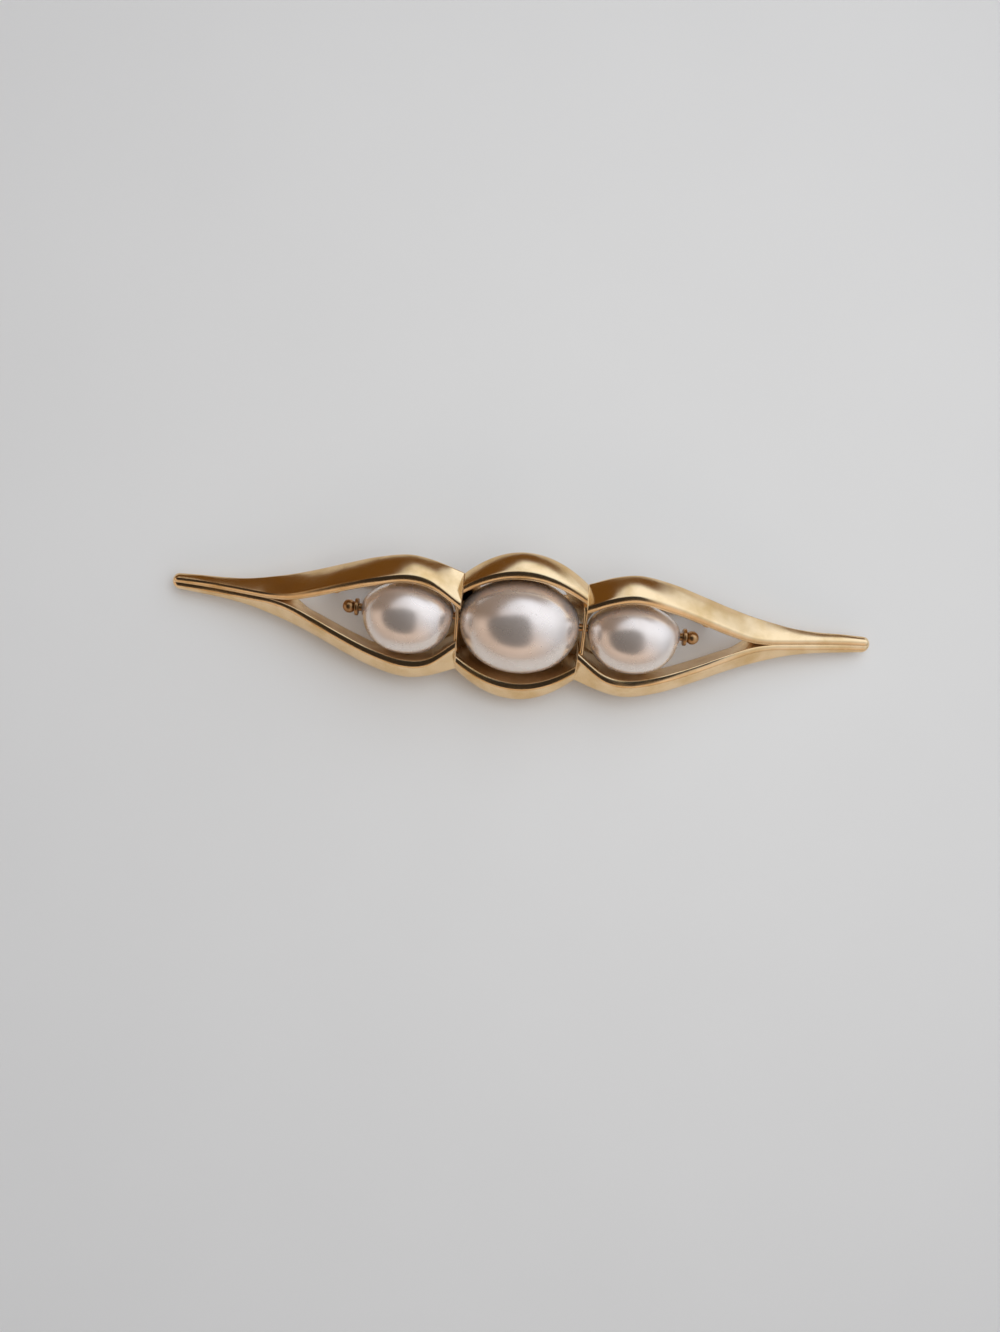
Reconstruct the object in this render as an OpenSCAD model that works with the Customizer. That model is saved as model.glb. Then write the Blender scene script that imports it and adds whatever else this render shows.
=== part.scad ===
// Openwork bar brooch: two cast rails that run together at slim tips and open
// round three oval pearls strung on a wire, with a pin behind.
// Each piece is drawn with X along the bar, Y towards the upper rail and Z to the
// front, and then leaned back as the brooch lies on a table, on its lower rail
// and the two feet of its pin.

/* [Overall] */
// Length from tip to tip
brooch_l = 57; // [57:0.5:62]
// Angle at which it lies, because the pin stands out behind
lean = 25; // [24:0.5:27]

/* [Rails] */
// Radius of the bright lip round the openings
lip_r = 0.33; // [0.32:0.01:0.36]
// How far the inner wall leans in from the lip to the back
wall_in = 0.2; // [0.1:0.05:0.25]
// Radius of the rounded tips
tip_r = 0.6; // [0.4:0.05:0.8]
// Thickness of the cross webs between the pearls
web_t = 0.28; // [0.2:0.02:0.3]

/* [Pearls] */
// Length of the middle pearl
middle_l = 9.46; // [9:0.02:9.5]
// Thickness of the middle pearl
middle_d = 7.32; // [6.8:0.02:7.4]
// Length of each side pearl
side_l = 7.12; // [6.6:0.02:7.16]
// Thickness of each side pearl
side_d = 5.64; // [5.2:0.02:5.8]
// Diameter of the hole drilled through each pearl
bore_d = 0.9; // [0.8:0.02:1]

/* [Wire] */
// Diameter of the wire that carries the pearls
wire_d = 0.6; // [0.5:0.02:0.7]
// Diameter of the ball at each end of the wire
ball_d = 1.06; // [0.9:0.02:1.2]
// Diameter of the collar inside each ball
collar_d = 1.36; // [1.2:0.02:1.5]
// Thickness of that collar
collar_t = 0.28; // [0.2:0.02:0.3]

/* [Pin] */
// Diameter of the pin stem
stem_d = 0.6; // [0.5:0.02:0.64]
// Distance of the pin's two feet from the middle
foot_x = 15; // [14.6:0.1:15.4]
// Height of the pin on the brooch, from the centre line towards the upper rail
pin_y = 1.2; // [1.1:0.02:1.3]
// Diameter of each foot and of the seat cast for it
foot_d = 1.1; // [1:0.02:1.2]
// Length of the rolled joint
joint_l = 0.5; // [0.4:0.02:0.6]
// Radius of the catch
catch_r = 0.45; // [0.42:0.01:0.5]
// Length of the catch
catch_l = 1.3; // [1:0.1:2]
// How far the sharpened end runs out of the catch
point_l = 1.2; // [0.8:0.1:2]

/* [Hidden] */
GOLD = [0.86, 0.68, 0.40];
OLD_GOLD = [0.78, 0.60, 0.34];
PEARL = [0.93, 0.91, 0.87];
$fn = 32;

// The upper rail's section at the middle of the bar and then along one arm. The columns are
// the distance from the middle, how far out and how high the lip's crest is, how far out
// and how high the widest point is, and how far out and how high the back edge is.
CREST_Y = 1;
CREST_Z = 2;
WIDE_Y = 3;
WIDE_Z = 4;
BACK_Y = 5;
BACK_Z = 6;
MIDDLE = [0, 4.87, 4.02, 6.22, 3.35, 4.70, 1.30];
ARM = [
    [5.1, 2.67, 3.92, 4.05, 3.20, 2.60, 1.50],
    [7.0, 3.42, 4.08, 4.85, 3.30, 3.40, 1.40],
    [9.0, 3.72, 4.02, 5.15, 3.25, 3.70, 1.30],
    [11.5, 3.18, 3.80, 4.65, 3.05, 3.00, 1.20],
    [14.0, 2.31, 3.35, 3.75, 2.65, 2.10, 1.05],
    [16.5, 1.32, 2.80, 2.75, 2.10, 1.20, 0.80],
    [18.5, 0.60, 2.38, 2.04, 1.70, 0.65, 0.55],
    [20.2, 0.32, 2.02, 1.56, 1.35, 0.48, 0.35],
    [22.0, 0.30, 1.62, 1.15, 1.00, 0.42, 0.10],
    [24.0, 0.30, 1.15, 0.90, 0.62, 0.40, -0.10],
    [26.2, 0.28, 0.68, 0.78, 0.25, 0.42, -0.30],
    [28.0, 0.25, 0.42, 0.66, 0.03, 0.40, -0.35]
];
TABLE_L = 57;
cusp_x = ARM[0][0];
tip_x = TABLE_L / 2 - tip_r;
join_y = -0.03;
middle_steps = 9;
arm_steps = 34;
tip_angles = [25, 50, 70, 82];
// Fuller than an ellipse from the lip to the widest point, slacker from there to the back
shoulder_power = 0.8;
flank_power = 1.1;

run = brooch_l / TABLE_L;
pearl_z = 3.2;
side_x = 8.85 * run;
web_x = 5.02 * run;
wire_y = 0.42;
wire_z = 3;
ball_x = 13.57 * run;
seat_z = 0.45;
seat_top_z = 1.1;
point_r = 0.08;

// Slope of one column at row i of a table
function slope(t, k, i) =
    let (a = max(i - 1, 0), b = min(i + 1, len(t) - 1))
    (t[b][k] - t[a][k]) / (t[b][0] - t[a][0]);

// One column of a table at x, on a smooth curve through its rows
function smooth_at(t, k, x) =
    let (
        i = max([for (j = [0:len(t) - 2]) if (j == 0 || x >= t[j][0]) j]),
        h = t[i + 1][0] - t[i][0],
        u = (x - t[i][0]) / h
    )
    (2 * u ^ 3 - 3 * u ^ 2 + 1) * t[i][k]
    + (u ^ 3 - 2 * u ^ 2 + u) * h * slope(t, k, i)
    + (3 * u ^ 2 - 2 * u ^ 3) * t[i + 1][k]
    + (u ^ 3 - u ^ 2) * h * slope(t, k, i + 1);

// The same at any x: a plain bow over the middle pearl, and the arm's curve beyond the cusp
function rail_at(k, x) =
    abs(x) < cusp_x
        ? MIDDLE[k] + (ARM[0][k] - MIDDLE[k]) * (x / cusp_x) ^ 2
        : smooth_at(ARM, k, min(abs(x), ARM[len(ARM) - 1][0]));

// Outline of the upper rail's section at x as [y, z] points, from the inner wall over the lip
function section(x) =
    let (
        cy = rail_at(CREST_Y, x),
        cz = rail_at(CREST_Z, x),
        wy = rail_at(WIDE_Y, x),
        wz = rail_at(WIDE_Z, x),
        by = rail_at(BACK_Y, x),
        bz = rail_at(BACK_Z, x),
        inner = cy - lip_r
    )
    concat(
        [[max(inner - wall_in, min(inner, join_y)), bz]],
        [for (a = [180:-30:90]) [cy + lip_r * cos(a), cz - lip_r + lip_r * sin(a)]],
        [for (a = [72:-18:0])
            [cy + (wy - cy) * cos(a) ^ shoulder_power, wz + (cz - wz) * sin(a) ^ shoulder_power]],
        [for (a = [25:25:75])
            [by + (wy - by) * cos(a) ^ flank_power, wz - (wz - bz) * sin(a) ^ flank_power]],
        [[by, bz]]
    );

// Places along the bar, each with how full the section is there: 1, and less round the tip
half_run = concat(
    [for (i = [0:middle_steps - 1]) [cusp_x * i / middle_steps, 1]],
    [for (i = [0:arm_steps]) [cusp_x + (tip_x - cusp_x) * i / arm_steps, 1]],
    [for (a = tip_angles) [tip_x + tip_r * sin(a), cos(a)]]
);
last = len(half_run) - 1;
whole_run = concat(
    [for (i = [last:-1:1]) [-half_run[i][0], half_run[i][1]]],
    half_run
);
tip_z = (rail_at(WIDE_Z, tip_x) + rail_at(BACK_Z, tip_x) + rail_at(CREST_Z, tip_x)) / 3;

// How it lies: the height and the reach of its section at the middle, leaned back
section_0 = section(0);
rest_h = min([for (p = section_0) p[1] * cos(lean) - p[0] * sin(lean)]);
reach_up = max([for (p = section_0) p[0] * cos(lean) - p[1] * sin(lean)]);
reach_down = min([for (p = section_0) -p[0] * cos(lean) - p[1] * sin(lean)]);
stem_z = (rest_h + catch_r - pin_y * sin(lean)) / cos(lean);
joint_r = stem_z - (rest_h - (pin_y - joint_l / 2) * sin(lean)) / cos(lean);

// The brooch's own frame, leaned back and stood on the table with its box centred
module lying() {
    translate([0, -(reach_up + reach_down) / 2, -rest_h])
        rotate([lean, 0, 0])
            children();
}

// A solid through a row of outlines that all have the same number of points
module skin(rings) {
    n = len(rings[0]);
    top = (len(rings) - 1) * n;
    polyhedron(
        points = [for (ring = rings) for (p = ring) p],
        faces = concat(
            [[for (j = [n - 1:-1:0]) j]],
            [for (i = [0:len(rings) - 2]) for (j = [0:n - 1])
                let (a = i * n + j, b = i * n + (j + 1) % n)
                for (f = [[a, b + n, a + n], [a, b, b + n]]) f],
            [[for (j = [0:n - 1]) top + j]]
        )
    );
}

// The upper rail, from tip to tip
module rail() {
    skin([for (s = whole_run)
        [for (p = section(s[0])) [s[0], p[0] * s[1], tip_z + (p[1] - tip_z) * s[1]]]]);
}

// A straight rod along X between two places
module rod(x0, x1, y, z, d) {
    translate([x0, y, z])
        rotate([0, 90, 0])
            cylinder(h = x1 - x0, d = d);
}

// The cast pod: both rails, the webs that carry the wire, and the seats for the pin
module pod_frame() {
    web_y = 2.6;
    web_z0 = 2.1;
    web_z1 = 3.75;
    wire_play = 0.1;
    color(GOLD)
        lying()
            difference() {
                resize([brooch_l, 0, 0])
                    union() {
                        rail();
                        mirror([0, 1, 0])
                            rail();
                        for (side = [-1, 1]) {
                            translate([side * web_x / run - web_t / 2, -web_y, web_z0])
                                cube([web_t, 2 * web_y, web_z1 - web_z0]);
                            translate([side * foot_x / run, pin_y, seat_z])
                                cylinder(h = seat_top_z - seat_z, d = foot_d);
                        }
                    }
                rod(-side_x, side_x, wire_y, wire_z, wire_d + 2 * wire_play);
            }
}

// An oval pearl whose drilling lies a little above and behind its middle
module pearl(x, l, d) {
    steps = 30;
    half_oval = [for (i = [0:steps])
        let (a = -90 + 180 * i / steps)
        [max(d / 2 * cos(a), 0), l / 2 * sin(a)]];
    color(PEARL)
        lying()
            difference() {
                translate([x, 0, pearl_z])
                    rotate([0, 90, 0])
                        rotate_extrude()
                            polygon(half_oval);
                rod(x - l, x + l, wire_y, wire_z, bore_d);
            }
}

module pearl_middle() {
    pearl(0, middle_l, middle_d);
}

module pearl_left() {
    pearl(-side_x, side_l, side_d);
}

module pearl_right() {
    pearl(side_x, side_l, side_d);
}

// The straight wire with a ball at each end, and a collar let a little way into the ball
module pearl_wire() {
    collar_lap = 0.07;
    collar_x = ball_x - ball_d / 2 + collar_lap - collar_t;
    color(OLD_GOLD)
        lying() {
            rod(-ball_x, ball_x, wire_y, wire_z, wire_d);
            rod(-collar_x - collar_t, -collar_x, wire_y, wire_z, collar_d);
            rod(collar_x, collar_x + collar_t, wire_y, wire_z, collar_d);
            for (side = [-1, 1])
                translate([side * ball_x, wire_y, wire_z])
                    sphere(d = ball_d);
        }
}

// The pin as one plain piece: a joint on the left foot, the stem behind the pearls,
// and a catch on the right foot
module pin_back() {
    color(OLD_GOLD)
        lying() {
            for (side = [-1, 1])
                translate([side * foot_x, pin_y, stem_z])
                    cylinder(h = seat_z - stem_z, d = foot_d);
            translate([-foot_x, pin_y + joint_l / 2, stem_z])
                rotate([90, 0, 0])
                    cylinder(h = joint_l, r = joint_r);
            rod(foot_x - catch_l / 2, foot_x + catch_l / 2, pin_y, stem_z, 2 * catch_r);
            rod(-foot_x, foot_x, pin_y, stem_z, stem_d);
            translate([foot_x, pin_y, stem_z])
                rotate([0, 90, 0])
                    cylinder(h = catch_l / 2 + point_l, r1 = stem_d / 2, r2 = point_r);
        }
}

pod_frame();
pearl_middle();
pearl_left();
pearl_right();
pearl_wire();
pin_back();
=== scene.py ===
# %% [markdown]
# # A slim bar brooch shaped like an open pod
# The real brooch is a casting of two polished, gold-plated rails that run side by side at the
# tips and open round three pearls on a wire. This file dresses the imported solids: it makes
# each piece again with smooth faces, gives it its real finish, and sets it on a pale table in
# a bright room. Sizes are in millimetres in the brooch's own frame, with X along the bar, Y
# towards the upper rail and Z to the front, and turn into metres at the end.

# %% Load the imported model
import math
import bmesh
import bpy
import numpy as np
from mathutils import Matrix, Vector


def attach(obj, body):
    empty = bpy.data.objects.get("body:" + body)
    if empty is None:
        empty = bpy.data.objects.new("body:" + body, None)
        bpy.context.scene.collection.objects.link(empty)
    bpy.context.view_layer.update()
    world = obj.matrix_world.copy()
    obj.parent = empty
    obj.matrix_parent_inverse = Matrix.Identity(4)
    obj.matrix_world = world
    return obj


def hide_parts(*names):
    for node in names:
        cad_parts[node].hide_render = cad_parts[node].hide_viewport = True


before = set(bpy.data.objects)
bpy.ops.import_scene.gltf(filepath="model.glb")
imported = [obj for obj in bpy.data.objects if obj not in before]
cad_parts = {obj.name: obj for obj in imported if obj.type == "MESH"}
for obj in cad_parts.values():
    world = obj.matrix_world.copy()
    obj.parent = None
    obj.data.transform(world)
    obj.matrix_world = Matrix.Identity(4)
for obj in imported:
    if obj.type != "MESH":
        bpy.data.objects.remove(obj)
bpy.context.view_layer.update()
print("solids:", ", ".join(sorted(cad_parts)))

# %% [markdown]
# ## How it lies
# The pin stands out behind the rails, so a brooch that is put down leans back. It rests on
# its lower rail and on the back of its pin, 25 degrees from flat. The pieces could be turned
# as objects, but patterns then slide on them when they are exported. So every piece is drawn
# upright in its own frame, and one function lays its points down on the table, while the
# objects themselves stay at the origin.

# %% From the brooch's own frame to the table
MM = 1000.0  # millimetres in a metre
LEAN = math.radians(25)
SHIFT_Y = 1.350
RISE = 0.884


def lying(points):
    """Points in the brooch's own frame, in mm, as they lie on the table, in metres."""
    x, y, z = np.asarray(points, float).reshape(-1, 3).T
    back = y * math.cos(LEAN) - z * math.sin(LEAN) + SHIFT_Y
    up = y * math.sin(LEAN) + z * math.cos(LEAN) + RISE
    return np.column_stack([x, back, up]) / MM


print("middle of the table side:", lying([0, 0, 0]).round(5).tolist())

# %% [markdown]
# ## Small tools
# Colours are given as sRGB hex values, because that is what a colour picker shows, and the
# shaders work in linear light. Node trees are built by one function that adds a node, sets
# its options, and gives each input a value or a link.

# %% Colours and nodes
PLATE_COLOUR = "#F6D6A8"


def linear(hex_colour):
    """An sRGB hex colour as linear RGBA."""
    parts = [int(hex_colour[i:i + 2], 16) / 255 for i in (1, 3, 5)]
    parts = [c / 12.92 if c <= 0.04045 else ((c + 0.055) / 1.055) ** 2.4 for c in parts]
    return (*parts, 1.0)


def add(tree, kind, *feeds, **settings):
    """Adds a node. A feed goes to the input of its place, or to the inputs that a dict names."""
    node = tree.nodes.new(kind)
    for name, value in settings.items():
        setattr(node, name, value)
    named = {}
    for place, feed in enumerate(feeds):
        named.update(feed if isinstance(feed, dict) else {place: feed})
    for key, feed in named.items():
        if isinstance(feed, bpy.types.Node):
            feed = next(out for out in feed.outputs if out.enabled)
        if isinstance(feed, bpy.types.NodeSocket):
            tree.links.new(feed, node.inputs[key])
        elif feed is not None:
            node.inputs[key].default_value = feed
    return node


def new_finish(name):
    """An empty material, its tree and its output node."""
    material = bpy.data.materials.new(name)
    material.use_nodes = True
    material.node_tree.nodes.clear()
    return material, material.node_tree, add(material.node_tree, "ShaderNodeOutputMaterial")


print("gold plate in linear light:", [round(c, 3) for c in linear(PLATE_COLOUR)])

# %% [markdown]
# ## Gold plating on a casting
# The rails are cast in white metal, polished on a wheel and plated with a thin layer of gold.
# Plating is a real metal, so it is fully metallic and its colour is in its reflection. The
# wheel leaves faint waves about two millimetres long and hair scratches, and years of wear
# dull the surface in clouds. Those three are what make polished metal look real: the waves
# bend each reflection, and the clouds change its edge. The wheel doesn't reach the walls
# inside the open cells, so they stay satin. The scratches are really a few hundredths of a
# millimetre wide and are drawn coarser, so that they show. The wire and the pin are drawn
# through a plate and polished less, which gives the eye a browner and softer gold.

# %% The plating
# Features per millimetre of the clouds, the waves, the grain and the hair scratches.
CLOUDS = 0.45
WAVES = 0.5
GRAIN = 9.0
HAIRS = 6.0
# How deep the waves and the scratches are, in mm.
WAVE_DEPTH = 0.12
HAIR_DEPTH = 0.004


def inner_walls(tree, place):
    """1 on walls that face the brooch's long axis, where the wheel can't reach, and else 0."""
    own = add(tree, "ShaderNodeMapping", place.outputs["Object"], {"Rotation": (-LEAN, 0, 0)})
    own = add(tree, "ShaderNodeSeparateXYZ", own)
    axis_y = (SHIFT_Y * math.cos(LEAN) + RISE * math.sin(LEAN)) / MM
    side = add(tree, "ShaderNodeMath", own.outputs["Y"], axis_y, operation="SUBTRACT")
    side = add(tree, "ShaderNodeMath", side, operation="SIGN")
    facing = add(tree, "ShaderNodeMapping", place.outputs["Normal"],
                 {"Rotation": (-LEAN, 0, 0)}, vector_type="NORMAL")
    facing = add(tree, "ShaderNodeSeparateXYZ", facing)
    inward = add(tree, "ShaderNodeMath", side, facing.outputs["Y"], operation="MULTIPLY")
    return add(tree, "ShaderNodeMapRange", inward, -0.8, -0.97, 0.0, 1.0)


def gold(name, colour, dull_colour, rough, wave, scratch, inner=0.0):
    """Worn gold: its colour, its clouds' colour, and how rough, wavy and scratched it is."""
    material, tree, out = new_finish(name)
    place = add(tree, "ShaderNodeTexCoord")
    at = place.outputs["Object"]
    clouds = add(tree, "ShaderNodeTexNoise", at, {"Scale": CLOUDS * MM, "Detail": 5.0})
    cloudy = add(tree, "ShaderNodeMapRange", clouds, 0.42, 0.72, 0.0, 1.0)
    grain = add(tree, "ShaderNodeTexNoise", at, {"Scale": GRAIN * MM, "Detail": 3.0})
    # The hairs run along the bar, so their pattern is drawn out in X.
    stretch = add(tree, "ShaderNodeMapping", at, {"Scale": (0.35, 2.2, 2.2)})
    hairs = add(tree, "ShaderNodeTexNoise", stretch, {"Scale": HAIRS * MM, "Detail": 2.0})
    waves = add(tree, "ShaderNodeTexNoise", at, {"Scale": WAVES * MM, "Detail": 1.5})
    tint = add(tree, "ShaderNodeMix", {0: cloudy, 6: linear(colour), 7: linear(dull_colour)},
               data_type="RGBA")
    dull = add(tree, "ShaderNodeMath", cloudy, 0.10, rough, operation="MULTIPLY_ADD")
    dull = add(tree, "ShaderNodeMath", grain, 0.06, dull, operation="MULTIPLY_ADD")
    if inner:
        dull = add(tree, "ShaderNodeMath", inner_walls(tree, place), inner, dull,
                   operation="MULTIPLY_ADD")
    bump = add(tree, "ShaderNodeBump",
               {"Strength": wave, "Distance": WAVE_DEPTH / MM, "Height": waves})
    bump = add(tree, "ShaderNodeBump", {"Strength": scratch, "Distance": HAIR_DEPTH / MM,
                                        "Height": hairs, "Normal": bump})
    skin = add(tree, "ShaderNodeBsdfPrincipled", {"Base Color": tint, "Roughness": dull,
                                                  "Metallic": 1.0, "Normal": bump})
    tree.links.new(skin.outputs[0], out.inputs["Surface"])
    return material


gold_plating = gold("polished_gold_plating", PLATE_COLOUR, "#E0B97F", 0.13, 0.22, 0.25, 0.35)
gold_wire_finish = gold("drawn_gold_wire", "#D2A674", "#8F6A44", 0.24, 0.15, 0.3)
print("finishes:", gold_plating.name, gold_wire_finish.name)

# %% [markdown]
# ## Pearl
# These are imitation pearls: a glass bead dipped in many coats of fish-scale essence, whose
# tiny plates lie flat like mirrors under clear lacquer. So the body is part metal and part
# milky glass, with a clear coat over it. That is why a pearl shows a soft reflection of the
# whole room inside it and a small sharp one of the window on top.

# %% The pearl finish
# Features per millimetre of the milky veil and of the speckle, and the speckle's depth in mm.
VEIL = 0.4
SPECKLE = 4.0
SPECKLE_DEPTH = 0.004

pearl_finish, tree, out = new_finish("dipped_pearl_lacquer")
at = add(tree, "ShaderNodeTexCoord").outputs["Object"]
veil = add(tree, "ShaderNodeTexNoise", at, {"Scale": VEIL * MM, "Detail": 4.0})
veil = add(tree, "ShaderNodeMapRange", veil, 0.35, 0.7, 0.0, 1.0)
speckle = add(tree, "ShaderNodeTexNoise", at, {"Scale": SPECKLE * MM, "Detail": 1.0})
body = add(tree, "ShaderNodeMix", {0: veil, 6: linear("#F3E5DA"), 7: linear("#E9D9CC")},
           data_type="RGBA")
# Painted sheen: the body colour turns lighter towards the rims, where the pearl is seen edge-on,
# so the rims look lit.
edge = add(tree, "ShaderNodeLayerWeight", 0.35)
body = add(tree, "ShaderNodeMix", {0: edge.outputs["Facing"], 6: body, 7: linear("#F6F0EA")},
           data_type="RGBA")
soft = add(tree, "ShaderNodeMath", veil, 0.05, 0.25, operation="MULTIPLY_ADD")
dent = add(tree, "ShaderNodeBump",
           {"Strength": 0.04, "Distance": SPECKLE_DEPTH / MM, "Height": speckle})
skin = add(tree, "ShaderNodeBsdfPrincipled",
           {"Base Color": body, "Metallic": 0.72, "Roughness": soft, "IOR": 1.53,
            "Coat Weight": 0.8, "Coat Roughness": 0.22, "Coat IOR": 1.5, "Normal": dent})
tree.links.new(skin.outputs[0], out.inputs["Surface"])
print("finish:", pearl_finish.name)

# %% [markdown]
# ## Running a Geometry Nodes tree
# The rails, the pearls, the wire and the turned parts of the pin all follow a rule, so each
# comes from a node tree with named sizes. One helper gives an object the tree, sets the
# inputs by their identifiers before anything is evaluated, and takes the plain mesh that
# comes out. Another joins such meshes to a piece and lays it down on the table.

# %% Trees and plain meshes


def new_tree(name, **sizes):
    """A geometry tree with named inputs. Each size is its socket's kind and its usual value."""
    tree = bpy.data.node_groups.new(name, "GeometryNodeTree")
    tree.interface.new_socket("Geometry", in_out="INPUT", socket_type="NodeSocketGeometry")
    for label, (kind, value) in sizes.items():
        socket = tree.interface.new_socket(label, in_out="INPUT", socket_type="NodeSocket" + kind)
        if value is not None:
            socket.default_value = value
    tree.interface.new_socket("Geometry", in_out="OUTPUT", socket_type="NodeSocketGeometry")
    return tree, add(tree, "NodeGroupInput"), add(tree, "NodeGroupOutput")


def end_tree(tree, geometry, sizes, output):
    """Closes the seams, smooths the faces, realizes the instances and sets the material."""
    last = add(tree, "GeometryNodeMergeByDistance", geometry, None, 1e-4)
    last = add(tree, "GeometryNodeSetShadeSmooth", last)
    last = add(tree, "GeometryNodeRealizeInstances", last)
    last = add(tree, "GeometryNodeSetMaterial", last, {"Material": sizes.outputs["Finish"]})
    tree.links.new(last.outputs[0], output.inputs[0])


def point_mesh(name, points, **fields):
    """A mesh of loose points that carries one number or one vector per point for each field."""
    mesh = bpy.data.meshes.new(name)
    mesh.from_pydata([tuple(p) for p in points], [], [])
    for label, values in fields.items():
        values = np.asarray(values, float)
        kind, slot = ("FLOAT_VECTOR", "vector") if values.ndim == 2 else ("FLOAT", "value")
        mesh.attributes.new(label, kind, "POINT").data.foreach_set(slot, values.ravel())
    return mesh


def grown(name, tree, mesh, **values):
    """The plain mesh that a tree makes from a mesh, with its inputs set by identifier."""
    obj = bpy.data.objects.new(name, mesh)
    bpy.context.collection.objects.link(obj)
    modifier = obj.modifiers.new(tree.name, "NODES")
    modifier.node_group = tree
    for item in tree.interface.items_tree:
        if item.in_out == "INPUT" and item.name in values:
            modifier[item.identifier] = values[item.name]
    evaluated = obj.evaluated_get(bpy.context.evaluated_depsgraph_get())
    plain = bpy.data.meshes.new_from_object(evaluated)
    bpy.data.objects.remove(obj)
    bpy.data.meshes.remove(mesh)
    return plain


def laid_piece(name, meshes, finish):
    """Joins plain meshes in mm, points their faces outwards, and lays them on the table."""
    whole = bmesh.new()
    for mesh in meshes:
        whole.from_mesh(mesh)
    bmesh.ops.remove_doubles(whole, verts=whole.verts, dist=1e-5)
    bmesh.ops.recalc_face_normals(whole, faces=whole.faces)
    open_edges = sum(not edge.is_manifold for edge in whole.edges)
    piece = bpy.data.meshes.new(name)
    whole.to_mesh(piece)
    whole.free()
    spots = np.empty(len(piece.vertices) * 3)
    piece.vertices.foreach_get("co", spots)
    piece.vertices.foreach_set("co", lying(spots).ravel())
    piece.materials.clear()
    piece.materials.append(finish)
    piece.shade_smooth()
    piece.update()
    obj = bpy.data.objects.new(name, piece)
    bpy.context.collection.objects.link(obj)
    print(f"{name}: {len(piece.polygons)} faces, {open_edges} open edges")
    return obj


def done(piece, slot, *nodes):
    """Fixes a finished piece to the one body, and hides the imported solids that it takes the
    place of.
    """
    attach(piece, "root")
    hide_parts(*nodes)


print("tree helpers are ready")

# %% [markdown]
# ## Reading rows inside a tree
# Every tree here starts from a flat grid with one row for each station along the piece and
# one column for each point round it, and then moves the points. These helpers tell a point
# its row and column, read what the row carries, and turn the column into an angle for parts
# that are round. A grid is used because it comes out as clean quads with no loose ends.

# %% Rows, columns and rings


def row_and_column(tree, columns):
    """The row and the column of each point of a grid that has so many columns."""
    index = add(tree, "GeometryNodeInputIndex")
    row = add(tree, "ShaderNodeMath", index, columns, operation="DIVIDE")
    row = add(tree, "ShaderNodeMath", row, operation="FLOOR")
    column = add(tree, "ShaderNodeMath", row, columns, operation="MULTIPLY")
    return row, add(tree, "ShaderNodeMath", index, column, operation="SUBTRACT")


def carried(tree, sizes, label, row, kind="FLOAT_VECTOR"):
    """What the incoming point of this row carries under a label."""
    named = add(tree, "GeometryNodeInputNamedAttribute", label, data_type=kind)
    return add(tree, "GeometryNodeSampleIndex", sizes.outputs[0],
               {"Value": named, "Index": row}, data_type=kind)


def ring_grid(tree, rings, sizes):
    """A grid with one row per ring, each point's row, and its angle round the ring."""
    columns = add(tree, "ShaderNodeMath", sizes.outputs["Sides"], 1.0, operation="ADD")
    grid = add(tree, "GeometryNodeMeshGrid", 1.0, 1.0, rings, columns)
    row, column = row_and_column(tree, columns)
    angle = add(tree, "ShaderNodeMath", column, sizes.outputs["Sides"], operation="DIVIDE")
    return grid, row, add(tree, "ShaderNodeMath", angle, 2 * math.pi, operation="MULTIPLY")


print("row helpers are ready")

# %% [markdown]
# ## The rails' guides
# One rail is a bar whose section changes as it runs. Three guide lines steer it: the crest of
# the bright lip, the widest point of the outer wall, and the back edge. They were read off at
# round places along the bar and are joined by smooth curves. Over the middle pearl the rail
# is one plain bow that meets each arm in a sharp cusp. The two sides of the real casting
# aren't quite alike, so each cusp has a place and a step of its own.

# %% Guide lines along the bar
# Each row gives crest y and z, widest y and z, and back edge y and z, all in mm.
MIDDLE = np.array([4.84, 4.34, 6.22, 3.35, 4.88, 1.30])
MIDDLE_END = np.array([3.00, 4.20, 4.05, 3.20, 2.75, 1.50])
ARM_X = np.array([5.1, 7.0, 9.0, 11.5, 14.0, 16.5, 18.5, 20.2, 22.0, 24.0, 26.2, 28.0])
ARM = np.array([
    [2.20, 4.20, 4.05, 3.20, 2.20, 1.50],
    [3.36, 4.38, 4.85, 3.30, 3.40, 1.40],
    [3.70, 4.34, 5.15, 3.25, 3.70, 1.30],
    [3.16, 4.12, 4.65, 3.05, 3.00, 1.20],
    [2.29, 3.67, 3.75, 2.65, 2.10, 1.05],
    [1.30, 3.10, 2.75, 2.10, 1.20, 0.80],
    [0.58, 2.55, 2.04, 1.70, 0.65, 0.55],
    [0.32, 2.05, 1.56, 1.35, 0.48, 0.35],
    [0.30, 1.62, 1.15, 1.00, 0.42, 0.10],
    [0.30, 1.15, 0.90, 0.62, 0.40, -0.10],
    [0.28, 0.68, 0.78, 0.25, 0.42, -0.30],
    [0.25, 0.42, 0.66, 0.03, 0.40, -0.35],
])
# A cusp is a step: its distance from the middle, then the crest of the bow and the crest of
# the arm there, y and z. First the left cusp of a rail, then the right one.
UPPER_CUSPS = ((4.7, (3.1, 3.95), (1.85, 4.3)), (5.0, (3.2, 4.2), (2.4, 4.1)))
LOWER_CUSPS = ((4.9, (3.0, 4.1), (1.7, 4.25)), (4.7, (2.95, 4.2), (1.8, 4.1)))
# Stations crowd together at these distances from a cusp, so that it stays sharp.
NEAR_CUSP = (0.04, 0.07, 0.12, 0.18, 0.27, 0.4)
CLEAR_OF_CUSP = 0.5
BOW_STATIONS = 26
ARM_STATIONS = 108
TIP_X = 27.9
TIP_R = 0.6
TIP_ANGLES = np.radians(np.linspace(8, 90, 12))


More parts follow.
